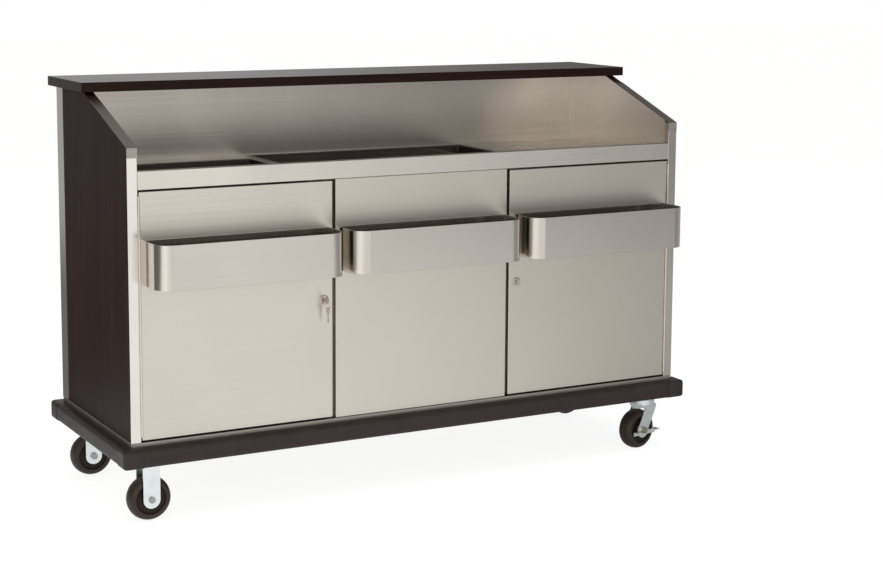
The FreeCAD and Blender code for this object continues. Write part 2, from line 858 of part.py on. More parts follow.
def axle_bolt(x, y, head_way, nut_gap):
    """An axle bolt through both legs: a low round head on one side, on the other a nut that
    stands off the leg by a gap."""
    head_face = Vec(x, y + head_way * leg_outer, wheel_radius)
    nut_face = Vec(x, y - head_way * (leg_outer + nut_gap), wheel_radius)
    shank = rod(axle_radius, head_face, AXIS_Y * -head_way, 2 * leg_outer + nut_gap)
    head = rod(axle_head_radius, head_face, AXIS_Y * head_way, axle_head)
    nut = hexagon(axle_nut_width, nut_face, AXIS_Y * -head_way, axle_nut)
    return shank.fuse([head, nut]).removeSplitter()


def rigid_axle_bolts():
    return group([axle_bolt(-caster_x, caster_front, -1, 0), axle_bolt(-caster_x, caster_rear, 1, 0)])


def wheel(x, y):
    """A rubber-tyred wheel turned about its axle, with dished sides and a raised hub."""
    bore = axle_radius + running_clearance
    rim = wheel_radius - tread_wall
    floor = wheel_half_width - wheel_recess
    crown = tread_edge_radius
    round_off = crown * (1 - math.sqrt(2) / 2)
    half = [(bore, hub_half_width), (hub_radius, hub_half_width), (hub_radius, floor), (rim, floor),
            (rim, wheel_half_width), (wheel_radius - crown, wheel_half_width)]
    points = [Vec(r, w, 0) for r, w in half]
    far = [Vec(p.x, -p.y, 0) for p in reversed(points)]
    edges = [Part.makeLine(a, b) for a, b in zip(points, points[1:])]
    shoulder = Vec(wheel_radius, wheel_half_width - crown, 0)
    middle = Vec(wheel_radius - round_off, wheel_half_width - round_off, 0)
    edges.append(Part.Arc(points[-1], middle, shoulder).toShape())
    low = Vec(wheel_radius, -shoulder.y, 0)
    edges.append(Part.makeLine(shoulder, low))
    edges.append(Part.Arc(low, Vec(middle.x, -middle.y, 0), far[0]).toShape())
    edges.extend(Part.makeLine(a, b) for a, b in zip(far, far[1:]))
    edges.append(Part.makeLine(far[-1], points[0]))
    solid = Part.Face(Part.Wire(edges)).revolve(ORIGIN, AXIS_Y, 360)
    solid.translate(Vec(x, y, wheel_radius))
    return solid


def swivel_top_plate(x, y):
    """The fixed half of a swivel: plate, upper raceway and kingpin."""
    race_bottom = plate_underside - raceway_height / 2
    race = rod(raceway_radius, Vec(x, y, race_bottom), AXIS_Z, raceway_height / 2)
    pin_bottom = plate_underside - raceway_height - swivel_gap - swivel_crown
    pin = rod(kingpin_radius, Vec(x, y, pin_bottom), AXIS_Z, plate_underside - pin_bottom)
    return caster_plate(x, y).fuse([race, pin]).removeSplitter()


def swivel_top_plates():
    return group([swivel_top_plate(caster_x, y) for y in (caster_front, caster_rear)])


def turned(shape, y, angle):
    """A swivel piece turned about its kingpin."""
    copy = shape.copy()
    copy.rotate(Vec(caster_x, y, 0), AXIS_Z, angle)
    return copy


def swivel_fork(y, angle):
    """The turning half of a swivel: lower raceway, crown and two raked legs."""
    x = caster_x
    wheel_x = x - swivel_trail
    race_top = plate_underside - raceway_height / 2 - swivel_gap
    race_bottom = plate_underside - raceway_height - swivel_gap
    race = rod(raceway_radius, Vec(x, y, race_bottom), AXIS_Z, race_top - race_bottom)
    crown_bottom = race_bottom - swivel_crown
    crown = block(x - raceway_radius, x + leg_half_width, y - leg_outer, y + leg_outer,
                  crown_bottom, race_bottom)
    legs = [fork_leg(wheel_x, y, way, crown_bottom, x) for way in (-1, 1)]
    fork = race.fuse([crown] + legs).removeSplitter()
    bore = rod(kingpin_radius + running_clearance, Vec(x, y, crown_bottom - cut_overrun), AXIS_Z,
               race_top - crown_bottom + 2 * cut_overrun)
    return turned(fork.cut(bore).cut(axle_hole(wheel_x, y)), y, angle)


def swivel_axle(y, angle):
    bolt = axle_bolt(caster_x - swivel_trail, y, 1, pedal_thickness + 2 * side_clearance)
    return turned(bolt, y, angle)


def swivel_wheel(y, angle):
    return turned(wheel(caster_x - swivel_trail, y), y, angle)


def brake_pedal(y, angle):
    """A foot lever that rocks on the axle outside the front leg, with a pad at each end."""
    axle_x = caster_x - swivel_trail
    middle = wheel_radius - pedal_drop
    low = middle - pedal_strap_width / 2
    high = middle + pedal_strap_width / 2
    y1 = y - leg_outer - side_clearance
    y0 = y1 - pedal_thickness
    pad_front = y1 - pedal_pad_width
    heel_x = axle_x - pedal_heel
    toe_x = axle_x + pedal_reach
    eye = rod(pedal_eye_radius, Vec(axle_x, y0, wheel_radius), AXIS_Y, pedal_thickness)
    strap = block(heel_x, toe_x - pedal_pad_length / 2, y0, y1, low, high)
    heel_pad = block(heel_x, heel_x + pedal_pad_length, pad_front, y1, high - pedal_thickness, high)
    crest = [(toe_x - pedal_pad_length, high), (toe_x - pedal_pad_length / 2, high + pedal_pad_rise),
             (toe_x, high)]
    toe_pad = prism_along_y(crest + [(x, z - pedal_thickness) for x, z in reversed(crest)],
                            pad_front, y1)
    lever = eye.fuse([strap, heel_pad, toe_pad]).removeSplitter()
    hole = rod(axle_radius + running_clearance, Vec(axle_x, y0 - cut_overrun, wheel_radius), AXIS_Y,
               pedal_thickness + 2 * cut_overrun)
    return turned(lever.cut(hole), y, angle)


def all_nodes():
    nodes = {
        "base_pan": base_pan(),
        "bolster_left": bolster(),
        "bolster_right": mirrored(bolster()),
        "bumper_front": bumper_along_front(),
        "bumper_rear": bumper_along_rear(),
        "bumper_left": bumper_along_left(),
        "bumper_right": mirrored(bumper_along_left()),
        "bumper_corners": bumper_corners(),
        "slope_edge_trims": slope_edge_trims(),
        "customer_panel": customer_panel(),
        "corner_trims": corner_trims(),
        "bar_top": bar_top(),
        "backsplash": backsplash(),
        "work_deck": work_deck(),
        "ice_bin_liner": ice_bin_liner(),
        "bin_divider": bin_divider(),
        "ice_bin_insulation": ice_bin_insulation(),
        "side_liners": side_liners(),
        "bottle_well": bottle_well(),
        "drain_valve_body": drain_valve_body(),
        "drain_valve_lever": drain_valve_lever(),
        "bulkheads": bulkheads(),
        "centre_panel": centre_panel(),
        "speed_rail_centre": speed_rail(0, rail_panel_length),
        "hinge_frame_leaves": hinge_frame_leaves(),
        "hinge_pins": hinge_pins(),
        "key_set": key_set(),
        "rigid_caster_front": rigid_caster(caster_front),
        "rigid_caster_rear": rigid_caster(caster_rear),
        "rigid_axle_bolts": rigid_axle_bolts(),
        "wheel_rigid_front": wheel(-caster_x, caster_front),
        "wheel_rigid_rear": wheel(-caster_x, caster_rear),
        "swivel_top_plates": swivel_top_plates(),
        "caster_bolts": caster_bolts(),
    }
    handed = {
        "side_panel_": side_panel, "stile_": stile, "shelf_": shelf,
        "door_shell_": door_shell, "door_liner_": door_liner, "hinge_door_leaf_": door_leaf,
        "lock_housing_": lock_housing, "lock_plug_": lock_plug,
    }
    for name, make in handed.items():
        nodes[name + "left"] = make()
        nodes[name + "right"] = mirrored(nodes[name + "left"])
    nodes["speed_rail_left"] = speed_rail(-door_centre, rail_door_length)
    nodes["speed_rail_right"] = speed_rail(door_centre, rail_door_length)
    swivels = (("front", caster_front, front_swivel_angle), ("rear", caster_rear, rear_swivel_angle))
    for name, y, angle in swivels:
        nodes["swivel_fork_" + name] = swivel_fork(y, angle)
        nodes["swivel_axle_" + name] = swivel_axle(y, angle)
        nodes["wheel_swivel_" + name] = swivel_wheel(y, angle)
        nodes["brake_pedal_" + name] = brake_pedal(y, angle)
    return nodes


os.makedirs("parts", exist_ok=True)
made = all_nodes()
for node_name, shape in made.items():
    shape.exportStep("parts/" + node_name + ".step")
print(len(made), "nodes")
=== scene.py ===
import json
import math

import bmesh
import bpy
from mathutils import Matrix, Vector


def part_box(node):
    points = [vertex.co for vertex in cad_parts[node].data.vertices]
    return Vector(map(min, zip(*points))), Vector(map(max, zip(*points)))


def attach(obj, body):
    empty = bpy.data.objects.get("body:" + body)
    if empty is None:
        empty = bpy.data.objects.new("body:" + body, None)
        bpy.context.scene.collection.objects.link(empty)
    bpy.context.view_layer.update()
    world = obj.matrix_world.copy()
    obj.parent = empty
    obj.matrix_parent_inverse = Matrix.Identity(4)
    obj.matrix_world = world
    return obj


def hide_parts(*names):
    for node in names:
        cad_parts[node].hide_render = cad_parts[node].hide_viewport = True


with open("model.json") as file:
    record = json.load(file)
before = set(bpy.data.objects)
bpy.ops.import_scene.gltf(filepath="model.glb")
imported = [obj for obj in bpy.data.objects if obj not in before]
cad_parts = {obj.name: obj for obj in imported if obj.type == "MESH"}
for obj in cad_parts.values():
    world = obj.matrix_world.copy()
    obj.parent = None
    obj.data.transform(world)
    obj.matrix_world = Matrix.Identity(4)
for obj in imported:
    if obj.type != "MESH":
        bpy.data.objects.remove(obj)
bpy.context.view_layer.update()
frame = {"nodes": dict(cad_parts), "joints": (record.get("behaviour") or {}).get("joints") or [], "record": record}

MM = 0.001

# Faces that meet at less than this share their shading
SMOOTH_ANGLE = math.radians(42)
# Edges that turn by more than this are eased
EASED_ANGLE = math.radians(35)
# Faces of a CAD mesh that turn by less than this are one flat face
FLAT_ANGLE = math.radians(0.5)
# In millimetres: how near two places are the same, and how near points are welded
SAME_PLACE = 0.05
WELD = 0.002
WELD_COPIED = 0.01

# Stock that the folded pieces are made from, and the outer radius of its folds, in millimetres
SHEET = 1.2
HEAVY_SHEET = 1.5
FOLD = 2.4

# Right-hand pieces are made at the left end and mirrored
WAY = {"left": 1, "right": -1}


# Mesh building

def bevel(bm, edges, width, steps=3):
    """Rounds edges by a width in millimetres."""
    bmesh.ops.bevel(bm, geom=list(edges), offset=width * MM, offset_type="OFFSET",
                    segments=steps, profile=0.5, affect="EDGES", material=-1, clamp_overlap=True)


def block(bm, low, high, ease=0.0, steps=2):
    """A box between two corners, in metres, its edges eased by millimetres."""
    low, high = Vector(low), Vector(high)
    place = Matrix.Translation((low + high) / 2) @ Matrix.Diagonal((*(high - low), 1))
    verts = bmesh.ops.create_cube(bm, size=1, matrix=place)["verts"]
    if ease:
        bevel(bm, {edge for vert in verts for edge in vert.link_edges}, ease, steps)


def rod(bm, start, end, radius, sides, ease):
    """A round or many-sided bar between two points in metres, its radius and the ease of its rims
    in millimetres."""
    start, end = Vector(start), Vector(end)
    turn = (end - start).to_track_quat("Z", "Y").to_matrix().to_4x4()
    place = Matrix.Translation((start + end) / 2) @ turn
    verts = bmesh.ops.create_cone(bm, cap_ends=True, cap_tris=False, segments=sides,
                                  radius1=radius * MM, radius2=radius * MM,
                                  depth=(end - start).length, matrix=place)["verts"]
    rims = {edge for vert in verts for edge in vert.link_edges
            if any(len(face.verts) == sides for face in edge.link_faces)}
    bevel(bm, rims, ease, 2)


def turned(bm, outline, centre, axis, steps):
    """A closed outline of (radius, distance along) in millimetres, spun about an axis."""
    centre, axis = Vector(centre), Vector(axis).normalized()
    side = axis.orthogonal().normalized()
    verts = [bm.verts.new(centre + (side * radius + axis * along) * MM)
             for radius, along in outline]
    edges = [bm.edges.new(pair) for pair in zip(verts, verts[1:] + verts[:1])]
    bmesh.ops.spin(bm, geom=verts + edges, cent=centre, axis=axis, dvec=(0, 0, 0),
                   angle=math.tau, steps=steps, use_merge=True, use_duplicate=False)


def across(axis, along, a, b):
    """A point in metres from its place along an axis and its two others."""
    return Vector({"x": (along, a, b), "y": (a, along, b), "z": (a, b, along)}[axis])


def folded(bm, outline, axis, start, end, bend=FOLD):
    """A sheet's outer face, folded along an axis. The metal is on the right of the outline."""
    verts = [bm.verts.new(across(axis, start, a, b)) for a, b in outline]
    edges = [bm.edges.new(pair) for pair in zip(verts, verts[1:])]
    made = bmesh.ops.extrude_edge_only(bm, edges=edges)["geom"]
    moved = [part for part in made if isinstance(part, bmesh.types.BMVert)]
    faces = [part for part in made if isinstance(part, bmesh.types.BMFace)]
    bmesh.ops.translate(bm, verts=moved, vec=across(axis, end - start, 0, 0))
    bmesh.ops.recalc_face_normals(bm, faces=faces)
    step = (outline[1][0] - outline[0][0], outline[1][1] - outline[0][1])
    outward = across(axis, 0, -step[1], step[0])
    first = next(face for face in faces if verts[0] in face.verts and verts[1] in face.verts)
    if first.normal.dot(outward) < 0:
        bmesh.ops.reverse_faces(bm, faces=faces)
    folds = [edge for edge in shared_edges(bm)
             if all(face in faces for face in edge.link_faces)]
    bevel(bm, folds, bend, 4)


def near(a, b):
    """Whether two places along an axis are the same."""
    return abs(a - b) < SAME_PLACE * MM


def faces_at(bm, axis, place):
    """The faces that lie flat at a place along an axis."""
    index = "xyz".index(axis)
    return [face for face in bm.faces
            if all(near(vert.co[index], place) for vert in face.verts)]


def cut_away(bm, faces):
    """Takes faces off, and leaves the edges round them."""
    bmesh.ops.delete(bm, geom=faces, context="FACES")


def shared_edges(bm):
    """The edges that join two faces."""
    return [edge for edge in bm.edges if len(edge.link_faces) == 2]


def settle_light(mesh):
    """Weights each corner's normal by face area, so that a flat face keeps even light up to its
    rounded edge."""
    trace = 1e-12  # lets a face without area keep its own normal
    normals = [face.normal.copy() for face in mesh.polygons]
    areas = [face.area for face in mesh.polygons]
    around = [[] for _ in mesh.vertices]
    for face in mesh.polygons:
        for vert in face.vertices:
            around[vert].append(face.index)
    limit = math.cos(SMOOTH_ANGLE)
    settled = []
    for face in mesh.polygons:
        own = normals[face.index]
        for vert in face.vertices:
            total = sum((normals[other] * areas[other] for other in around[vert]
                         if normals[other].dot(own) > limit), own * trace)
            settled.append(total.normalized())
    mesh.normals_split_custom_set(settled)


def make(name, bm, finish, body, node=None, wall=0.0, ease=0.0, other_end=False,
         outward=False):
    """Turns a bmesh into a piece that rides on a body and may stand for a CAD node. The wall and
    the ease are in millimetres, and other_end mirrors the piece."""
    bmesh.ops.remove_doubles(bm, verts=bm.verts, dist=WELD * MM)
    if not wall:
        bmesh.ops.recalc_face_normals(bm, faces=bm.faces)
    if other_end:
        bmesh.ops.scale(bm, vec=(-1, 1, 1), verts=bm.verts)
        bmesh.ops.reverse_faces(bm, faces=bm.faces)
    mesh = bpy.data.meshes.new(name)
    bm.to_mesh(mesh)
    bm.free()
    piece = bpy.data.objects.new(name, mesh)
    bpy.context.scene.collection.objects.link(piece)
    if wall:
        shell = piece.modifiers.new("sheet thickness", "SOLIDIFY")
        shell.thickness = wall * MM
        shell.offset = 1 if outward else -1
        shell.use_even_offset = True
    if ease:
        edge = piece.modifiers.new("eased edges", "BEVEL")
        edge.width = ease * MM
        edge.segments = 2
        edge.limit_method = "ANGLE"
        edge.angle_limit = EASED_ANGLE
    if wall or ease:
        graph = bpy.context.evaluated_depsgraph_get()
        mesh = bpy.data.meshes.new_from_object(piece.evaluated_get(graph))
        mesh.name = name
        piece.modifiers.clear()
        piece.data = mesh
    mesh.polygons.foreach_set("use_smooth", [True] * len(mesh.polygons))
    mesh.set_sharp_from_angle(angle=SMOOTH_ANGLE)
    settle_light(mesh)
    for material in (finish if isinstance(finish, tuple) else (finish,)):
        mesh.materials.append(material)
    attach(piece, body)
    if node:
        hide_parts(node)


def copied(node):
    """A merged copy of a CAD node's mesh, its flat faces made whole."""
    bm = bmesh.new()
    bm.from_mesh(frame["nodes"][node].data)
    bmesh.ops.remove_doubles(bm, verts=bm.verts, dist=WELD_COPIED * MM)
    bmesh.ops.dissolve_limit(bm, angle_limit=FLAT_ANGLE, verts=bm.verts, edges=bm.edges)
    return bm


# Materials. Pattern scales are repeats per metre: 1250 is one in 0.8 mm

# Most of a noise pattern's values lie between these
NOISE_LOW, NOISE_HIGH = 0.3, 0.7


def linear(code):
    """An sRGB hex colour as linear red, green, blue and alpha."""
    values = [int(code[i:i + 2], 16) / 255 for i in (1, 3, 5)]
    return tuple(value / 12.92 if value <= 0.04045 else ((value + 0.055) / 1.055) ** 2.4
                 for value in values) + (1,)


def add(tree, kind, inputs=(), **settings):
    """Adds a node, sets its fields and sockets, and links or sets its inputs."""
    node = tree.nodes.new(kind)
    for key, value in settings.items():
        if hasattr(node, key):
            setattr(node, key, value)
        else:
            node.inputs[key.replace("_", " ")].default_value = value
    for socket, source in dict(inputs).items():
        if isinstance(source, bpy.types.NodeSocket):
            tree.links.new(source, node.inputs[socket])
        else:
            node.inputs[socket].default_value = source
    return node


def new_material(name):
    """A node material with a bare surface shader, and its tree and shader."""
    material = bpy.data.materials.new(name)
    material.use_nodes = True
    tree = material.node_tree
    return material, tree, tree.nodes["Principled BSDF"]


def ramp(tree, source, stops):
    """A colour ramp over hex colours or grey values."""
    node = add(tree, "ShaderNodeValToRGB", {"Fac": source})
    band = node.color_ramp
    while len(band.elements) < len(stops):
        band.elements.new(0.5)
    for element, (place, colour) in zip(band.elements, stops):
        element.position = place
        element.color = linear(colour) if isinstance(colour, str) else (colour,) * 3 + (1,)
    return node


def brushed_stainless(name, dark, light, roughness, brush_axis, cross_axis, smear=0.75):
    """Sheet stainless with a satin brushed finish: long fine scratches one way, which smear
    reflections across themselves, and faint cloudy wiping marks."""
    material, tree, shader = new_material(name)
    place = add(tree, "ShaderNodeTexCoord").outputs["Object"]
    # Scratches 0.8 mm apart and 125 mm long, coarser than real so that they show
    scratch_scale = {"x": (8, 1250, 1250), "y": (1250, 8, 1250), "z": (1250, 1250, 8)}[brush_axis]
    lines = add(tree, "ShaderNodeVectorMath", {0: place, 1: scratch_scale}, operation="MULTIPLY")
    scratch = add(tree, "ShaderNodeTexNoise", {"Vector": lines.outputs[0]}, Scale=1.0, Detail=2.0,
                  Roughness=0.6)
    # Bands about 4 mm wide, as the brushing belt leaves them
    band_scale = {"x": (0.7, 260, 260), "y": (260, 0.7, 260), "z": (260, 260, 0.7)}[brush_axis]
    bands = add(tree, "ShaderNodeVectorMath", {0: place, 1: band_scale}, operation="MULTIPLY")
    belt = add(tree, "ShaderNodeTexNoise", {"Vector": bands.outputs[0]}, Scale=1.0, Detail=3.0)
    # Wiping marks about 0.2 m across
    cloud = add(tree, "ShaderNodeTexNoise", {"Vector": place}, Scale=4.5, Detail=3.0,
                Roughness=0.55)
    mixed = add(tree, "ShaderNodeMath", {0: belt.outputs["Fac"], 1: cloud.outputs["Fac"]},
                operation="ADD")
    half = add(tree, "ShaderNodeMath", {0: mixed.outputs[0], 1: 0.5}, operation="MULTIPLY")
    tone = ramp(tree, half.outputs[0], [(NOISE_LOW, dark), (NOISE_HIGH, light)])
    tree.links.new(tone.outputs["Color"], shader.inputs["Base Color"])
    rough = add(tree, "ShaderNodeMapRange", {"Value": belt.outputs["Fac"]}, From_Min=NOISE_LOW,
                From_Max=NOISE_HIGH, To_Min=roughness * 0.9, To_Max=roughness * 1.12)
    tree.links.new(rough.outputs["Result"], shader.inputs["Roughness"])
    shader.inputs["Metallic"].default_value = 1.0
    shader.inputs["Anisotropic"].default_value = smear
    # A little off the axis, so that no face has it square on
    smear_way = {"x": (1.0, 0.0, 0.04), "y": (0.0, 1.0, 0.04), "z": (0.0, 0.04, 1.0)}[cross_axis]
    tangent = add(tree, "ShaderNodeCombineXYZ", X=smear_way[0], Y=smear_way[1], Z=smear_way[2])
    tree.links.new(tangent.outputs[0], shader.inputs["Tangent"])
    bump = add(tree, "ShaderNodeBump", {"Height": scratch.outputs["Fac"]}, Strength=0.05,
               Distance=0.02 * MM)
    tree.links.new(bump.outputs["Normal"], shader.inputs["Normal"])
    return material


def laminate(name, dark, light, roughness, grain):
    """High-pressure laminate with a faint wood grain and a fine pore: matt and even, with a slight
    soft sheen."""
    material, tree, shader = new_material(name)
    shader.inputs["Specular IOR Level"].default_value = 0.08
    place = add(tree, "ShaderNodeTexCoord").outputs["Object"]
    # Pores about 1.1 mm apart, coarser than real so that they show
    pores = add(tree, "ShaderNodeTexNoise", {"Vector": place}, Scale=900.0, Detail=3.0,
                Roughness=0.6)
    stretched = add(tree, "ShaderNodeVectorMath", {0: place, 1: grain}, operation="MULTIPLY")
    figure = add(tree, "ShaderNodeTexNoise", {"Vector": stretched.outputs[0]}, Scale=1.0,
                 Detail=5.0, Roughness=0.62)
    tone = ramp(tree, figure.outputs["Fac"], [(0.32, dark), (0.68, light)])
    tree.links.new(tone.outputs["Color"], shader.inputs["Base Color"])
    rough = add(tree, "ShaderNodeMapRange", {"Value": pores.outputs["Fac"]}, From_Min=NOISE_LOW,
                From_Max=NOISE_HIGH, To_Min=roughness * 0.92, To_Max=roughness * 1.08)
    tree.links.new(rough.outputs["Result"], shader.inputs["Roughness"])
    bump = add(tree, "ShaderNodeBump", {"Height": pores.outputs["Fac"]}, Strength=0.18,
               Distance=0.05 * MM)
    tree.links.new(bump.outputs["Normal"], shader.inputs["Normal"])
    return material


def moulded(name, dark, light, roughness, grain=500.0, depth=0.06):
    """Moulded rubber or plastic: one colour with a fine skin grain and slight scuffing. The depth
    of the grain is in millimetres."""
    material, tree, shader = new_material(name)
    shader.inputs["Specular IOR Level"].default_value = 0.35
    place = add(tree, "ShaderNodeTexCoord").outputs["Object"]
    skin = add(tree, "ShaderNodeTexNoise", {"Vector": place}, Scale=grain, Detail=2.0)
    # Scuffs about 45 mm across
    scuff = add(tree, "ShaderNodeTexNoise", {"Vector": place}, Scale=22.0, Detail=5.0,
                Roughness=0.65)
    tone = ramp(tree, scuff.outputs["Fac"], [(0.35, dark), (0.75, light)])
    tree.links.new(tone.outputs["Color"], shader.inputs["Base Color"])
    rough = add(tree, "ShaderNodeMapRange", {"Value": scuff.outputs["Fac"]}, From_Min=0.3,
                From_Max=0.75, To_Min=roughness, To_Max=min(1.0, roughness + 0.14))
    tree.links.new(rough.outputs["Result"], shader.inputs["Roughness"])
    bump = add(tree, "ShaderNodeBump", {"Height": skin.outputs["Fac"]}, Strength=0.25,
               Distance=depth * MM)
    tree.links.new(bump.outputs["Normal"], shader.inputs["Normal"])
    return material


def plated(name, dark, light, roughness):
    """Plated or cast metal with a soft cloudy bloom, in clouds about 17 mm across."""
    material, tree, shader = new_material(name)
    place = add(tree, "ShaderNodeTexCoord").outputs["Object"]
    bloom = add(tree, "ShaderNodeTexNoise", {"Vector": place}, Scale=60.0, Detail=2.0)
    tone = ramp(tree, bloom.outputs["Fac"], [(NOISE_LOW, dark), (NOISE_HIGH, light)])
    tree.links.new(tone.outputs["Color"], shader.inputs["Base Color"])
    rough = add(tree, "ShaderNodeMapRange", {"Value": bloom.outputs["Fac"]}, From_Min=NOISE_LOW,
                From_Max=NOISE_HIGH, To_Min=roughness * 0.9, To_Max=roughness * 1.12)
    tree.links.new(rough.outputs["Result"], shader.inputs["Roughness"])
    shader.inputs["Metallic"].default_value = 1.0
    return material


# Doors and middle panel: brushed from side to side, an even warm satin
stainless_front = brushed_stainless("stainless brushed along the front", "#dad3c8", "#e0d9ce",
                                    0.3, "x", "z")
# Bottle rails: the same brushing on a smoother sheet, so that their round corners streak
stainless_rail = brushed_stainless("stainless brushed, bottle rails", "#ccc6be", "#d3cdc5", 0.18,
                                   "x", "z")
# Backsplash: a satin with soft upright smears, greyer and darker than the doors as painted shade under the bar top
stainless_splash = brushed_stainless("stainless brushed, backsplash", "#bab2a9", "#c9c1b8", 0.24,
                                     "x", "z")
# Deck and curb: pale and slightly cloudy
stainless_flat = brushed_stainless("stainless brushed, lying", "#d9d3ca", "#e6e0d7", 0.26,
                                   "x", "y")
# Liners of the side walls and the bin's divider: brushed from front to back, a soft mirror
stainless_end = brushed_stainless("stainless brushed, end walls", "#e2dcd4", "#eee8e0", 0.2,
                                  "y", "z", 0.6)
# Left stile and the doors' inner pans: brushed upright, the brightest sheet
stainless_upright = brushed_stainless("stainless brushed upright", "#e8e4dd", "#f1ede7", 0.2,
                                      "z", "x", 0.1)
# Right stile and corner strips: the same sheet, darker than the left stile as painted shade
stainless_shaded = brushed_stainless("stainless brushed upright, painted shade", "#c6bfb7", "#cfc9c1",
                                     0.2, "z", "x", 0.1)
# Slanted edges and the base's fold: a dull satin that hardly mirrors, darker than the other sheet. On the base's
# fold that darkness is painted shade, where it lies under the doors
stainless_trim = brushed_stainless("stainless edge trim", "#aaa19a", "#bab1aa", 0.4, "y", "x", 0.3)
# Ice bin and bottle well: deep drawn and dull, and dark in colour as painted shade, so that the openings look dark
stainless_pan_painted_shade = brushed_stainless("stainless drawn pan, painted shade", "#6e655f", "#7f766f", 0.32, "x", "y", 0.2)
# Sides and customer side: matt and near black, grain 6 mm wide and 0.4 m long, upright
side_laminate = laminate("dark brown laminate", "#21110d", "#37251f", 0.5, (160, 160, 2.5))
# Slab: smoother and darker, its grain along the bar, with a soft sheen from the light above
top_laminate = laminate("dark brown laminate, bar top", "#1b0f0c", "#281813", 0.3,
                        (2.5, 160, 160))
# Bumper: soft extruded vinyl, dark brown, with a broad dull highlight
bumper_vinyl = moulded("bumper vinyl", "#2a1f1b", "#342925", 0.46)
# Bumper's corner caps: moulded, a little greyer and smoother
cap_vinyl = moulded("bumper cap vinyl", "#26201e", "#332c29", 0.42)
# Tyres: dense dark rubber with a fine skin, slightly shiny on the shoulder
tyre_rubber = moulded("caster tyre rubber", "#2e231d", "#3c312b", 0.36, 700.0)
# Wheel cores: plain moulded plastic. The same dark plastic paints the keyhole's shade on the locks
hub_plastic_and_keyhole_shade = moulded("caster wheel core and painted keyhole shade", "#1f120c", "#2b1b13", 0.5)
# Caster pressings: bluish white and soft, with blurred reflections
zinc_plate = plated("bright zinc plate", "#e8eff0", "#f6fafa", 0.32)
# Swivel casters' bolt heads: straw coloured
yellow_zinc = plated("yellow zinc plate", "#a59a83", "#bbb098", 0.32)
# Rigid casters' bolts: grey, so that they stand out on the bright legs
dull_zinc = plated("zinc plate gone dull", "#a3a29c", "#b4b2ab", 0.42)
# Locks and split ring: warm, bright and smooth
nickel_plate = plated("nickel plate", "#b5afa7", "#cbc5bd", 0.2)
# Keys: slightly yellow, worn smooth
key_nickel = plated("nickel silver key", "#b7ad98", "#cfc6b2", 0.24)
# Drain valve: yellow, with the dull skin of a casting
cast_brass = plated("cast brass", "#a88a52", "#c4a468", 0.34)
# Shelves and bulkheads: pale board with a hardly visible figure
melamine = laminate("pale melamine board", "#c9c5bc", "#d2cec5", 0.45, (3, 90, 90))
# Jacket of the ice bin: cream and chalky, with a coarse skin
foam = moulded("rigid foam jacket", "#d8cfae", "#e2dabb", 0.75, 300.0, 0.3)

# CAD nodes that stay as they are get their slot's finish, or one of their own
finishes = {"laminate": side_laminate, "top_laminate": top_laminate,
            "stainless": stainless_front, "trim": stainless_trim, "bumper": bumper_vinyl,
            "zinc": zinc_plate, "wheel": tyre_rubber, "nickel": nickel_plate, "brass": cast_brass,
            "board": melamine, "foam": foam}
slot_of = {part["node"]: part["material_slot"] for part in frame["record"]["subparts"]}
body_of = {node: body for body, nodes in frame["record"]["behaviour"]["bodies"].items()
           for node in nodes}
own_finish = {"side_liners": stainless_end, "hinge_pins": zinc_plate}
for node_name, node in frame["nodes"].items():
    for place in node.material_slots:
        place.material = own_finish.get(node_name, finishes[slot_of[node_name]])


# Bar top and body. Widths of eased edges, outer radii of folds and lengths are in millimetres

SLAB_EDGE = 1.4
PANEL_EDGE = 0.5
STRIP_LEG, STRIP_FOLD = 60, 2.0
STILE_FOLD, STILE_EDGE = 1.8, 0.2
SLOPE_EDGE = 0.4
SPLASH_FOLD = 2.0
BASE_FOLD = 2.2

bm = bmesh.new()
block(bm, *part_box("bar_top"), SLAB_EDGE, 3)
make("bar_top_slab", bm, top_laminate, "bar_body", "bar_top")

for end in WAY:
    make("laminate_side_" + end, copied("side_panel_" + end), side_laminate, "bar_body",
         "side_panel_" + end, ease=PANEL_EDGE)
make("laminate_customer_side", copied("customer_panel"), side_laminate, "bar_body",
     "customer_panel", ease=PANEL_EDGE)

base_low, base_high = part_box("base_pan")
front_y = base_low.y
corner_low, corner_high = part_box("corner_trims")
bm = bmesh.new()
for way in WAY.values():
    corner_x, leg = corner_low.x * way, STRIP_LEG * MM
    outline = [(corner_x, corner_high.y - leg), (corner_x, corner_high.y),
               (corner_x + way * leg, corner_high.y)]
    folded(bm, outline[::way], "z", corner_low.z, corner_high.z, STRIP_FOLD)
make("corner_strips", bm, stainless_shaded, "bar_body", "corner_trims", wall=SHEET)

stile_low, stile_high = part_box("stile_left")
for end, way in WAY.items():
    bm = bmesh.new()
    folded(bm, [(stile_high.x, stile_high.y), (stile_high.x, front_y), (stile_low.x, front_y)],
           "z", stile_low.z, stile_high.z, STILE_FOLD)
    # The right stile takes the darker copy of the upright sheet: painted shade
    make("stile_fold_" + end, bm, stainless_upright if way > 0 else stainless_shaded, "bar_body",
         "stile_" + end, wall=SHEET, ease=STILE_EDGE, other_end=way < 0)

make("slanted_edge_strips", copied("slope_edge_trims"), stainless_trim, "bar_body",
     "slope_edge_trims", ease=SLOPE_EDGE)

splash_low, splash_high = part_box("backsplash")
bm = bmesh.new()
folded(bm, [(splash_low.y, splash_low.z), (splash_low.y, splash_high.z),
            (splash_high.y, splash_high.z)], "x", splash_low.x, splash_high.x, SPLASH_FOLD)
make("backsplash_sheet", bm, stainless_splash, "bar_body", "backsplash", wall=SHEET)

bm = bmesh.new()
block(bm, base_low, base_high)
cut_away(bm, faces_at(bm, "z", base_low.z))
bevel(bm, bm.edges, BASE_FOLD)
# The base's fold takes the dark edge-trim finish: painted shade under the doors
make("base_pan_fold", bm, stainless_trim, "bar_body", "base_pan", wall=HEAVY_SHEET)


# Bumper: vinyl lengths with rounded edges, and moulded corner caps

BUMPER_ROUND, BUMPER_END, CAP_EDGE = 13, 0.8, 1.2

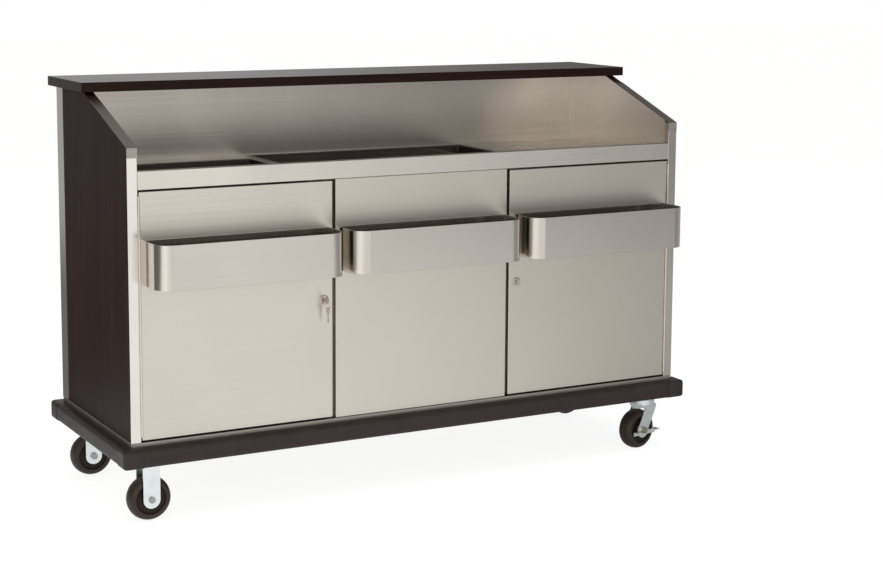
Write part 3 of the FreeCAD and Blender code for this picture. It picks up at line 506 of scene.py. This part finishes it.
for side, index, way in (("front", 1, -1), ("rear", 1, 1), ("left", 0, -1), ("right", 0, 1)):
    low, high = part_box("bumper_" + side)
    outer = (low if way < 0 else high)[index]
    bm = bmesh.new()
    block(bm, low, high)
    long_edges = [edge for edge in bm.edges
                  if all(near(vert.co[index], outer) for vert in edge.verts)
                  and near(edge.verts[0].co.z, edge.verts[1].co.z)]
    bevel(bm, long_edges, BUMPER_ROUND, 7)
    make("bumper_length_" + side, bm, bumper_vinyl, "bar_body", "bumper_" + side,
         ease=BUMPER_END)

make("bumper_caps", copied("bumper_corners"), cap_vinyl, "bar_body", "bumper_corners",
     ease=CAP_EDGE)


# Work deck, ice bin and well, in metres

APRON_LIP, CURB, CURB_RISE = 15 * MM, 20 * MM, 39.5 * MM
# Each pan hangs by a rim on the deck, which stops a little inside the pan's CAD box
RIM, RIM_CLEAR = 14 * MM, 0.6 * MM
# Rounded edges, in millimetres: the pans' inner corners, their mouths and the divider
BIN_CORNER, WELL_CORNER, MOUTH_ROUND, DIVIDER_EDGE = 9, 12, 1.6, 0.4

deck_low, deck_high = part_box("work_deck")
deck_top = deck_high.z - CURB_RISE
bm = bmesh.new()
folded(bm, [(deck_low.y + APRON_LIP, deck_low.z), (deck_low.y, deck_low.z),
            (deck_low.y, deck_high.z), (deck_low.y + CURB, deck_high.z),
            (deck_low.y + CURB, deck_top), (deck_high.y, deck_top)], "x", deck_low.x, deck_high.x)
holes = []
for node in ("ice_bin_liner", "bottle_well"):
    low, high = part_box(node)
    hole = low + Vector((RIM, RIM, 0)), high - Vector((RIM, RIM, 0))
    holes.append(hole)
    for corner in hole:
        for direction in ((1, 0, 0), (0, 1, 0)):
            bmesh.ops.bisect_plane(bm, geom=bm.verts[:] + bm.edges[:] + bm.faces[:],
                                   plane_co=corner, plane_no=direction)
cut_away(bm, [face for face in faces_at(bm, "z", deck_top)
              if any(low.x < face.calc_center_median().x < high.x
                     and low.y < face.calc_center_median().y < high.y for low, high in holes)])
make("work_deck_fold", bm, stainless_flat, "bar_body", "work_deck", wall=HEAVY_SHEET)


def dropped_pan(name, node, corner):
    """A drawn pan with rounded inner corners and a rim that lies on the deck."""
    low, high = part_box(node)
    inner_low = Vector((low.x + RIM, low.y + RIM, low.z + SHEET * MM))
    inner_high = Vector((high.x - RIM, high.y - RIM, high.z))
    bm = bmesh.new()
    block(bm, inner_low, inner_high)
    cut_away(bm, faces_at(bm, "z", inner_high.z))
    bevel(bm, shared_edges(bm), corner, 5)
    mouth = [edge for edge in bm.edges if len(edge.link_faces) == 1]
    made = bmesh.ops.extrude_edge_only(bm, edges=mouth)["geom"]
    ring = [part for part in made if isinstance(part, bmesh.types.BMVert)]
    middle = (inner_low + inner_high) / 2
    size = inner_high - inner_low
    grow = (RIM - RIM_CLEAR) * 2
    place = Matrix.Translation((middle.x, middle.y, 0))
    bmesh.ops.scale(bm, verts=ring, vec=((size.x + grow) / size.x, (size.y + grow) / size.y, 1),
                    space=place.inverted())
    bevel(bm, [edge for edge in mouth if edge.is_valid], MOUTH_ROUND)
    # The pans' dark colour is painted shade inside the openings
    make(name, bm, stainless_pan_painted_shade, "bar_body", node, wall=SHEET, outward=True)


dropped_pan("ice_bin_pan", "ice_bin_liner", BIN_CORNER)
dropped_pan("bottle_well_pan", "bottle_well", WELL_CORNER)

bm = bmesh.new()
block(bm, *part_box("bin_divider"), DIVIDER_EDGE)
make("bin_divider_plate", bm, stainless_end, "bar_body", "bin_divider")


# Doors and centre panel

DOOR_FOLD, PANEL_LIP = 1.2, 22
# The inner pan's border, and the slope and depth of the recess inside it
LINER_FOLD, LINER_BORDER, RECESS_SLOPE, RECESS_DEPTH = 2.0, 70, 6, 4


def panel_shell(low, high, open_back):
    """A folded sheet panel with its back off, or cut away to a lip."""
    bm = bmesh.new()
    block(bm, low, high)
    back = faces_at(bm, "y", high.y)
    if not open_back:
        bmesh.ops.inset_region(bm, faces=back, thickness=PANEL_LIP * MM, depth=0)
    cut_away(bm, back)
    folds = [edge for edge in shared_edges(bm) if edge.calc_face_angle(0) > math.radians(60)]
    bevel(bm, folds, DOOR_FOLD, 4)
    return bm


for end, way in WAY.items():
    make("door_skin_" + end, panel_shell(*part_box("door_shell_left"), True), stainless_front,
         "door_" + end, "door_shell_" + end, wall=SHEET, other_end=way < 0)

    liner_low, liner_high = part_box("door_liner_left")
    bm = bmesh.new()
    block(bm, liner_low, liner_high)
    cut_away(bm, faces_at(bm, "y", liner_low.y))
    bevel(bm, shared_edges(bm), LINER_FOLD)
    field = faces_at(bm, "y", liner_high.y)
    bmesh.ops.inset_region(bm, faces=field, thickness=LINER_BORDER * MM, depth=0)
    bmesh.ops.inset_region(bm, faces=field, thickness=RECESS_SLOPE * MM,
                           depth=-RECESS_DEPTH * MM)
    make("door_inner_pan_" + end, bm, stainless_upright, "door_" + end,
         "door_liner_" + end, wall=SHEET, other_end=way < 0)

low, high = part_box("centre_panel")
low.z += 1 * MM  # clear of the base's fold
make("centre_panel_skin", panel_shell(low, high, False), stainless_front, "bar_body",
     "centre_panel", wall=SHEET)


# Cam locks, in millimetres from the middle of the lock on the door's face

BEZEL_OUTLINE = [(6.1, -2.2), (6.1, 21.5), (9.5, 21.5), (9.5, 0), (14, 0), (14, -1.2),
                 (13.2, -2.4), (11.4, -3.0), (9.0, -3.0), (7.4, -2.6)]
PLUG_RADIUS, PLUG_OUT, PLUG_END, PLUG_EDGE = 5.95, 3.8, 21.8, 0.5
CAM_LOW, CAM_HIGH = (-7, 21.8, -46), (7, 24.3, 7)
NUT_START, NUT_END, NUT_RADIUS, NUT_EDGE = 24.3, 26.3, 4.6, 0.3
# The keyhole is a slightly raised bar from the plug's own front, in dark plastic: painted shade for the hollow of
# its slot. What stands this proud of the front is its face
KEYHOLE_LOW, KEYHOLE_HIGH = (-1.1, -0.12, -4.1), (1.1, 2, 4.1)
KEYHOLE_PROUD = 0.1

lock_low, lock_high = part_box("lock_housing_left")
lock_centre = (lock_low + lock_high) / 2
lock_face = Vector((lock_centre.x, front_y, lock_centre.z))
plug_front = lock_face - Vector((0, PLUG_OUT, 0)) * MM
for end, way in WAY.items():
    bm = bmesh.new()
    turned(bm, BEZEL_OUTLINE, lock_face, (0, 1, 0), 64)
    make("lock_bezel_" + end, bm, nickel_plate, "door_" + end, "lock_housing_" + end,
         other_end=way < 0)

    bm = bmesh.new()
    rod(bm, plug_front, lock_face + Vector((0, PLUG_END, 0)) * MM, PLUG_RADIUS, 48, PLUG_EDGE)
    block(bm, lock_face + Vector(CAM_LOW) * MM, lock_face + Vector(CAM_HIGH) * MM, PLUG_EDGE)
    rod(bm, lock_face + Vector((0, NUT_START, 0)) * MM, lock_face + Vector((0, NUT_END, 0)) * MM,
        NUT_RADIUS, 6, NUT_EDGE)
    block(bm, plug_front + Vector(KEYHOLE_LOW) * MM, plug_front + Vector(KEYHOLE_HIGH) * MM)
    # Faces in front of the plug take the dark plastic: painted keyhole shade
    proud = plug_front.y - KEYHOLE_PROUD * MM
    for face in bm.faces:
        if all(vert.co.y < proud for vert in face.verts):
            face.material_index = 1
    make("lock_cylinder_" + end, bm, (nickel_plate, hub_plastic_and_keyhole_shade), "lock_" + end,
         "lock_plug_" + end, other_end=way < 0)


# Bottle rails: rounded troughs with a folded hem round the rim, in millimetres

RAIL_ROUND, RAIL_FOLD, RAIL_EDGE = 45, 2.0, 0.25
HEM_DEPTH, HEM_EDGE = 9, 0.35


def rounded_front(bm, low, high, radius):
    """The walls of a box that is square behind and round at its two front corners."""
    block(bm, low, high)
    upright = [edge for edge in bm.edges
               if all(near(vert.co.y, low.y) for vert in edge.verts)
               and not near(edge.verts[0].co.z, edge.verts[1].co.z)]
    bevel(bm, upright, radius, 14)


for end, body in (("left", "door_left"), ("centre", "bar_body"), ("right", "door_right")):
    low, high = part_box("speed_rail_" + end)
    bm = bmesh.new()
    rounded_front(bm, low, high, RAIL_ROUND)
    cut_away(bm, faces_at(bm, "z", high.z))
    floor_edges = [edge for edge in shared_edges(bm)
                   if all(near(vert.co.z, low.z) for vert in edge.verts)]
    bevel(bm, floor_edges, RAIL_FOLD)
    make("bottle_rail_" + end, bm, stainless_rail, body, "speed_rail_" + end,
         wall=SHEET, ease=RAIL_EDGE)

    bm = bmesh.new()
    hem_low = Vector((low.x + SHEET * MM, low.y + SHEET * MM, high.z - HEM_DEPTH * MM))
    hem_high = Vector((high.x - SHEET * MM, high.y - SHEET * MM, high.z))
    rounded_front(bm, hem_low, hem_high, RAIL_ROUND - SHEET)
    cut_away(bm, faces_at(bm, "z", hem_low.z) + faces_at(bm, "z", hem_high.z))
    make("bottle_rail_hem_" + end, bm, stainless_rail, body, wall=SHEET,
         ease=HEM_EDGE)


# Keys: one in the left lock, its spare on a split ring, in millimetres

BOW_HOLE, BOW_RADIUS, BOW_CHAMFER, KEY_THICK, KEY_EDGE = 3.4, 11, 0.4, 2.0, 0.2
# How far out the blade starts, how deep its two sides are, and how far apart its teeth
BLADE_START, BLADE_BACK, TOOTH_LOW, TOOTH_HIGH, TOOTH_STEP, TEETH = 9.5, -3.4, 2.0, 3.6, 2.0, 9
KEY_REACH, SPARE_REACH = 30, 35
# How far the bow's middle is behind the key set's front, and how far each bow's middle is from
# its place on the ring
BOW_BACK, RING_SHIFT = 11, 5.5
RING_RADIUS, WIRE_RADIUS, RING_PLAY = 9.0, 0.9, 0.15


def key_shape(bm, centre, blade_end):
    """A flat key in the plane across X: a round head with a hole and a toothed blade."""
    half = KEY_THICK / 2
    turned(bm, [(BOW_HOLE, -half), (BOW_RADIUS - BOW_CHAMFER, -half),
                (BOW_RADIUS, -half + BOW_CHAMFER), (BOW_RADIUS, half - BOW_CHAMFER),
                (BOW_RADIUS - BOW_CHAMFER, half), (BOW_HOLE, half)], centre, (1, 0, 0), 48)
    direction = (blade_end - centre).normalized()
    side = direction.cross(Vector((1, 0, 0)))
    reach = (blade_end - centre).length / MM
    outline = [(BLADE_START, BLADE_BACK), (reach - 2.5, BLADE_BACK), (reach, -0.6),
               (reach - 2.0, 2.2)]
    outline += [(reach - 3.6 - tooth * TOOTH_STEP, TOOTH_HIGH if tooth % 2 else TOOTH_LOW)
                for tooth in range(TEETH)]
    outline.append((BLADE_START, TOOTH_HIGH))
    verts = [bm.verts.new(centre + (direction * a + side * b) * MM - Vector((half * MM, 0, 0)))
             for a, b in outline]
    face = bm.faces.new(verts)
    made = bmesh.ops.extrude_face_region(bm, geom=[face])["geom"]
    bmesh.ops.translate(bm, verts=[part for part in made if isinstance(part, bmesh.types.BMVert)],
                        vec=(KEY_THICK * MM, 0, 0))


key_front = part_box("key_set")[0].y
bow = Vector((lock_centre.x, key_front + BOW_BACK * MM, lock_centre.z))
bm = bmesh.new()
key_shape(bm, bow, bow + Vector((0, KEY_REACH * MM, 0)))
make("key_in_lock", bm, key_nickel, "lock_left", "key_set", ease=KEY_EDGE)

ring_drop = (BOW_HOLE - WIRE_RADIUS - RING_PLAY + RING_RADIUS) * MM
ring = bow - Vector((0, RING_SHIFT * MM, ring_drop))
wire = [(RING_RADIUS + WIRE_RADIUS * math.cos(angle), WIRE_RADIUS * math.sin(angle))
        for angle in (math.tau * step / 12 for step in range(12))]
bm = bmesh.new()
turned(bm, wire, ring, (0, 1, 0), 56)
make("key_ring", bm, nickel_plate, "lock_left")

spare = ring - Vector((0, 0, ring_drop + RING_SHIFT * MM))
bm = bmesh.new()
key_shape(bm, spare, spare - Vector((0, 0, SPARE_REACH * MM)))
make("spare_key", bm, key_nickel, "lock_left", ease=KEY_EDGE)


# Drain valve: collar, ribbed neck, body and tail, in millimetres up from its foot

VALVE_OUTLINE = [(7, 0), (8.6, 0), (9.5, 2), (9.0, 5), (9.5, 7), (9.0, 11), (9.5, 13), (9.0, 17),
                 (9.5, 19), (9.0, 24), (9.0, 42), (12, 45), (16, 45.6), (18, 48), (18, 54),
                 (15.5, 57), (15.5, 79), (18, 82), (18, 88), (16, 90.6), (11, 91), (11, 156.5),
                 (21, 157.2), (22, 158), (21, 159), (12, 159.2), (7, 158), (7, 91), (7, 80),
                 (7, 45)]
LEVER_EDGE = 0.8

valve_low, valve_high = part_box("drain_valve_body")
foot = Vector(((valve_low.x + valve_high.x) / 2, (valve_low.y + valve_high.y) / 2, valve_low.z))
bm = bmesh.new()
turned(bm, VALVE_OUTLINE, foot, (0, 0, 1), 56)
make("drain_valve_casting", bm, cast_brass, "bar_body", "drain_valve_body")
make("drain_valve_handle", copied("drain_valve_lever"), cast_brass, "drain_lever",
     "drain_valve_lever", ease=LEVER_EDGE)


# Casters, in millimetres

# Half of a wheel, from the hub out to the tread, as (radius, distance from the wheel's middle)
HALF_WHEEL = [(6.5, 26.5), (9.5, 26.5), (10.2, 25.8), (15.0, 25.6), (18.4, 25.2), (19, 24.2),
              (19.8, 19.0), (24, 17.2), (36, 16.9), (41.0, 17.8), (43.2, 20.4), (44.0, 24.6),
              (45.2, 25.4), (47.6, 25.4), (48.4, 24.7), (49.8, 24.6), (52.0, 24.3),
              (54.8, 23.0), (57.4, 20.9), (59.4, 18.3), (60.9, 15.2), (61.9, 11.9), (62.5, 9.6),
              (61.3, 8.9), (61.3, 6.9), (62.9, 6.2), (63.3, 4.2), (63.5, 2.0), (63.5, 0.6)]
CORE_RADIUS = 43.8
# Past this distance from the wheel's middle, an axle bolt is its yellow head
BOLT_HEAD = 34.9
PRESSED_EDGE, BOLT_EDGE = 0.7, 0.5


def caster_wheel(name, node, body, centre, axle):
    """A solid tyre with grooved walls on a dished core with a bearing hub."""
    bm = bmesh.new()
    other_half = [(radius, -along) for radius, along in reversed(HALF_WHEEL)]
    turned(bm, HALF_WHEEL + other_half, centre, axle, 96)
    for face in bm.faces:
        offset = face.calc_center_median() - Vector(centre)
        radial = offset - Vector(axle) * offset.dot(Vector(axle))
        face.material_index = 1 if radial.length < CORE_RADIUS * MM else 0
    make(name, bm, (tyre_rubber, hub_plastic_and_keyhole_shade), body, node)


joint_of = {joint["name"]: joint for joint in frame["joints"]}
for kind, side in (("rigid", "left"), ("swivel", "right")):
    for place in ("front", "rear"):
        body = "wheel_" + side + "_" + place
        joint = joint_of[body + "_spin"]
        caster_wheel("caster_wheel_" + kind + "_" + place, "wheel_" + kind + "_" + place, body,
                     joint["pos_m"], joint["axis"])

for node in ("rigid_caster_front", "rigid_caster_rear", "swivel_fork_front", "swivel_fork_rear",
             "brake_pedal_front", "brake_pedal_rear", "swivel_top_plates"):
    make(node + "_pressing", copied(node), zinc_plate, body_of[node], node,
         ease=PRESSED_EDGE)

make("rigid_axle_bolts_eased", copied("rigid_axle_bolts"), dull_zinc, "bar_body",
     "rigid_axle_bolts", ease=BOLT_EDGE)
for place in ("front", "rear"):
    bm = copied("swivel_axle_" + place)
    joint = joint_of["wheel_right_" + place + "_spin"]
    for face in bm.faces:
        offset = face.calc_center_median() - Vector(joint["pos_m"])
        face.material_index = 1 if offset.dot(Vector(joint["axis"])) < -BOLT_HEAD * MM else 0
    make("swivel_axle_bolt_" + place, bm, (zinc_plate, yellow_zinc), "swivel_" + place,
         "swivel_axle_" + place, ease=BOLT_EDGE)


# Floor and light

# How bright the studio looks in the metal, by bearing in degrees: 0 is straight out from the
# working side, and 90 is to its right. The floor nearby and the walls beyond differ.
LEFT_ROUND = [(-132, 0.1), (-64, 0.1), (-55, 1.4), (-28, 1.4), (-16, 1.1)]
BEHIND = [(90, 0.5), (140, 0.3), (149, 0.4), (157, 1.0), (174, 1.0), (180, 0.3)]
NEARBY = [(-180, 0.12), (-150, 0.12), *LEFT_ROUND, (8, 0.93), (19, 0.97), (28, 0.9), (36, 0.78),
          (50, 0.35), *BEHIND]
BEYOND = [(-180, 0.5), (-150, 0.5), *LEFT_ROUND, (8, 1.0), (20, 1.12), (27, 0.7), (36, 0.4),
          (50, 0.25), *BEHIND]


def studio_round(tree, vector, brightness):
    """The studio's brightness in the direction of a vector."""
    parts = add(tree, "ShaderNodeSeparateXYZ", {0: vector}).outputs
    ahead = add(tree, "ShaderNodeMath", {0: parts["Y"], 1: -1}, operation="MULTIPLY")
    bearing = add(tree, "ShaderNodeMath", {0: parts["X"], 1: ahead.outputs[0]},
                  operation="ARCTAN2")
    share = add(tree, "ShaderNodeMapRange", {"Value": bearing.outputs[0]}, From_Min=-math.pi,
                From_Max=math.pi)
    stops = [((angle + 180) / 360, value) for angle, value in brightness]
    return ramp(tree, share.outputs["Result"], stops).outputs["Color"]


# How much of the floor's look is its own white, so that the rest keeps the shadow, and how bright
# that white is
FLOOR_SHARE, FLOOR_WHITE = 0.74, 1.18
# How much of the studio shows where metal mirrors the floor
MIRRORED_SHARE = 0.85
# In metres: how far a place on the floor is shifted before its bearing is taken, and how far out
# the walls begin to show in the floor and fill it
BEARING_SHIFT = (0.9, -1.2, 0)
WALLS_BEGIN, WALLS_FILL = 4.0, 6.5


def floor_material():
    """A pale floor that reads as white and keeps a soft shadow. Metal mirrors the studio in it."""
    material, tree, shader = new_material("pale studio floor")
    shader.inputs["Base Color"].default_value = linear("#f4f3f1")
    shader.inputs["Roughness"].default_value = 0.9
    path = add(tree, "ShaderNodeLightPath").outputs
    place = add(tree, "ShaderNodeTexCoord").outputs["Object"]
    moved = add(tree, "ShaderNodeVectorMath", {0: place, 1: BEARING_SHIFT}, operation="ADD")
    distance = add(tree, "ShaderNodeVectorMath", {0: place}, operation="LENGTH")
    far = add(tree, "ShaderNodeMapRange", {"Value": distance.outputs["Value"]},
              From_Min=WALLS_BEGIN, From_Max=WALLS_FILL)
    studio = add(tree, "ShaderNodeMixRGB", {0: far.outputs["Result"],
                                            1: studio_round(tree, moved.outputs[0], NEARBY),
                                            2: studio_round(tree, moved.outputs[0], BEYOND)})
    colour = add(tree, "ShaderNodeMixRGB", {0: path["Is Camera Ray"], 1: studio.outputs[0],
                                            2: (FLOOR_WHITE, FLOOR_WHITE, FLOOR_WHITE, 1)})
    white = add(tree, "ShaderNodeEmission", {"Color": colour.outputs[0]}, Strength=1.0)
    mirrored = add(tree, "ShaderNodeMath", {0: path["Is Glossy Ray"], 1: MIRRORED_SHARE},
                   operation="MULTIPLY")
    share = add(tree, "ShaderNodeMath", {0: path["Is Camera Ray"], 1: FLOOR_SHARE,
                                         2: mirrored.outputs[0]}, operation="MULTIPLY_ADD")
    mix = add(tree, "ShaderNodeMixShader", {0: share.outputs[0], 1: shader.outputs[0],
                                            2: white.outputs[0]})
    tree.links.new(mix.outputs[0], tree.nodes["Material Output"].inputs["Surface"])
    return material


# The floor lies just under the tyres, so that they don't share its surface
bm = bmesh.new()
bmesh.ops.create_grid(bm, x_segments=1, y_segments=1, size=30,
                      matrix=Matrix.Translation((0, 0, -0.2 * MM)))
mesh = bpy.data.meshes.new("studio_floor")
bm.to_mesh(mesh)
bm.free()
mesh.materials.append(floor_material())
floor = bpy.data.objects.new("studio_floor", mesh)
bpy.context.scene.collection.objects.link(floor)

world = bpy.data.worlds.new("studio")
bpy.context.scene.world = world
world.use_nodes = True
tree = world.node_tree
# Plain light from all round, which the camera sees as white and metal as the studio
background = tree.nodes["Background"]
background.inputs["Color"].default_value = (0.9, 0.9, 0.9, 1)
background.inputs["Strength"].default_value = 0.6
path = add(tree, "ShaderNodeLightPath")
direction = add(tree, "ShaderNodeTexCoord").outputs["Generated"]
# The ceiling is darker than the walls
height = add(tree, "ShaderNodeSeparateXYZ", {0: direction}).outputs["Z"]
ceiling = add(tree, "ShaderNodeMapRange", {"Value": height}, From_Min=0.25, From_Max=0.6,
              To_Min=1.0, To_Max=0.4)
mirrored = add(tree, "ShaderNodeBackground", {"Color": studio_round(tree, direction, BEYOND),
                                              "Strength": ceiling.outputs["Result"]})
white = add(tree, "ShaderNodeBackground", Color=(1, 1, 1, 1), Strength=1.0)
metal = add(tree, "ShaderNodeMixShader", {0: path.outputs["Is Glossy Ray"],
                                          1: background.outputs[0], 2: mirrored.outputs[0]})
seen = add(tree, "ShaderNodeMixShader", {0: path.outputs["Is Camera Ray"], 1: metal.outputs[0],
                                         2: white.outputs[0]})
tree.links.new(seen.outputs[0], tree.nodes["World Output"].inputs["Surface"])


def softbox(name, place, aim, width, height, power):
    """A soft studio lamp that shines from a place at a point, in metres and watts."""
    lamp = bpy.data.lights.new(name, "AREA")
    lamp.shape = "RECTANGLE"
    lamp.size, lamp.size_y, lamp.energy = width, height, power
    light = bpy.data.objects.new(name, lamp)
    light.location = place
    light.rotation_euler = (Vector(aim) - Vector(place)).to_track_quat("-Z", "Y").to_euler()
    light.visible_camera = False
    light.visible_glossy = False
    bpy.context.scene.collection.objects.link(light)


softbox("overhead_softbox", (0.2, -0.6, 3.6), (0, 0, 0.9), 3.4, 2.6, 62)
softbox("left_softbox", (-3.6, -2.2, 2.2), (-0.5, 0, 0.6), 2.4, 2.4, 36)
softbox("front_softbox", (-0.6, -4.4, 1.8), (0, 0, 0.6), 3.0, 2.0, 40)


# The photograph's camera, worked out from the bar's own corners. Its focal length and the row that
# its axis meets are in pixels
PICTURE_WIDTH, PICTURE_HEIGHT = 883, 562
FOCAL, AXIS_ROW = 1833.2, 200
CAMERA_PLACE = (-2.5514, -5.0058, 1.5910)
YAW, PITCH, ROLL = (math.radians(angle) for angle in (28.862, 7.663, -0.358))
SENSOR_WIDTH = 36

forward = Vector((math.sin(YAW) * math.cos(PITCH), math.cos(YAW) * math.cos(PITCH),
                  -math.sin(PITCH)))
level = Vector((math.cos(YAW), -math.sin(YAW), 0))
down = forward.cross(level)
right = math.cos(ROLL) * level + math.sin(ROLL) * down
up = math.sin(ROLL) * level - math.cos(ROLL) * down
lens = bpy.data.cameras.new("studio_camera")
lens.sensor_width = SENSOR_WIDTH
lens.lens = FOCAL / PICTURE_WIDTH * SENSOR_WIDTH
lens.shift_y = (AXIS_ROW - PICTURE_HEIGHT / 2) / PICTURE_WIDTH
camera = bpy.data.objects.new("studio_camera", lens)
camera.location = CAMERA_PLACE
camera.rotation_mode = "QUATERNION"
camera.rotation_quaternion = Matrix((right, up, -forward)).transposed().to_quaternion()
bpy.context.scene.collection.objects.link(camera)
bpy.context.scene.camera = camera

bpy.context.scene.view_settings.view_transform = "Standard"
